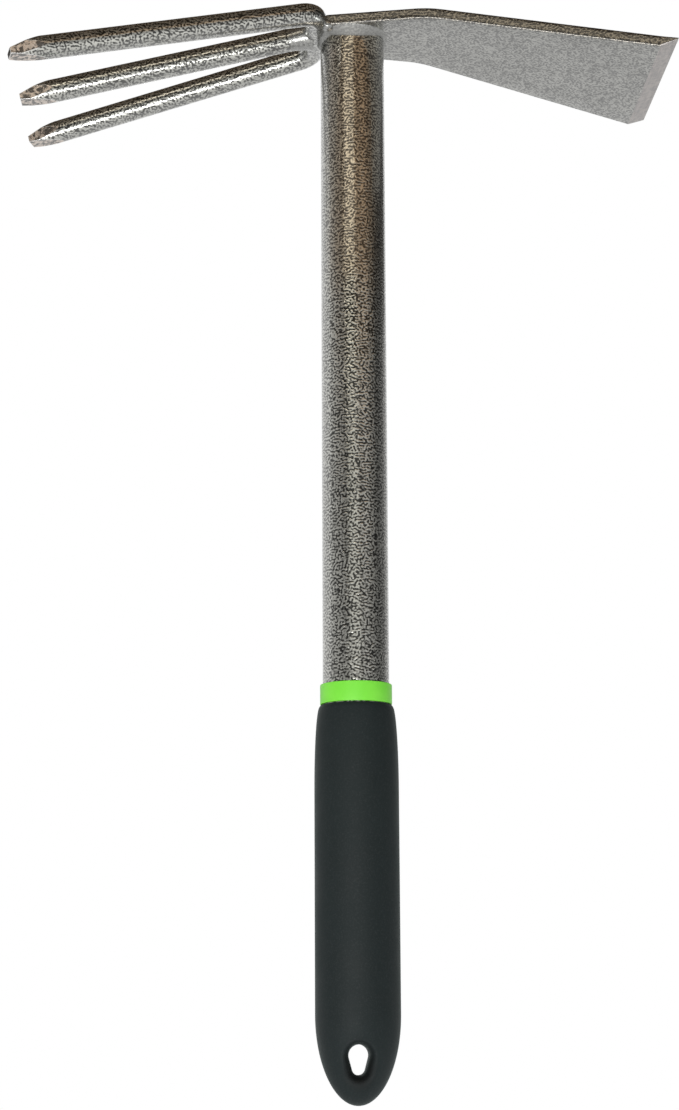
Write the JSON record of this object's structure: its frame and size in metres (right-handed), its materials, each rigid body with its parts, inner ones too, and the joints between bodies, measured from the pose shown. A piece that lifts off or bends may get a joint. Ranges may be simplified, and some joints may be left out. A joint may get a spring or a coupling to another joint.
{
  "type": "one-hand hoe and cultivator",
  "caption": "One-hand garden tool with round tines on one side of its head, a flared hoe blade on the other, a tube handle and a rubber grip with a hang hole.",
  "frame": {"origin": "middle of the hang hole, on the handle's axis", "axes": "+Z along the handle towards the head, +X towards the hoe blade, +Y across the head and along the hang hole"},
  "size_m": [0.2254, 0.0868, 0.3732],
  "materials": {
    "hammered_paint": "hammered paint over steel, half gloss, bronze to pewter",
    "green_plastic": "satin lime green",
    "dark_rubber": "matt, fine grain"
  },
  "bodies": {
    "root": {"handle_tube": "hammered_paint", "hoe_plate": "hammered_paint", "outer_tines": "hammered_paint", "middle_tine": "hammered_paint", "weld_tube": "hammered_paint", "weld_crossbar_top": "hammered_paint", "weld_crossbar_near": "hammered_paint", "weld_crossbar_far": "hammered_paint", "weld_middle_tine": "hammered_paint", "grip_collar": "green_plastic", "grip_cover": "dark_rubber"}
  },
  "joints": []
}
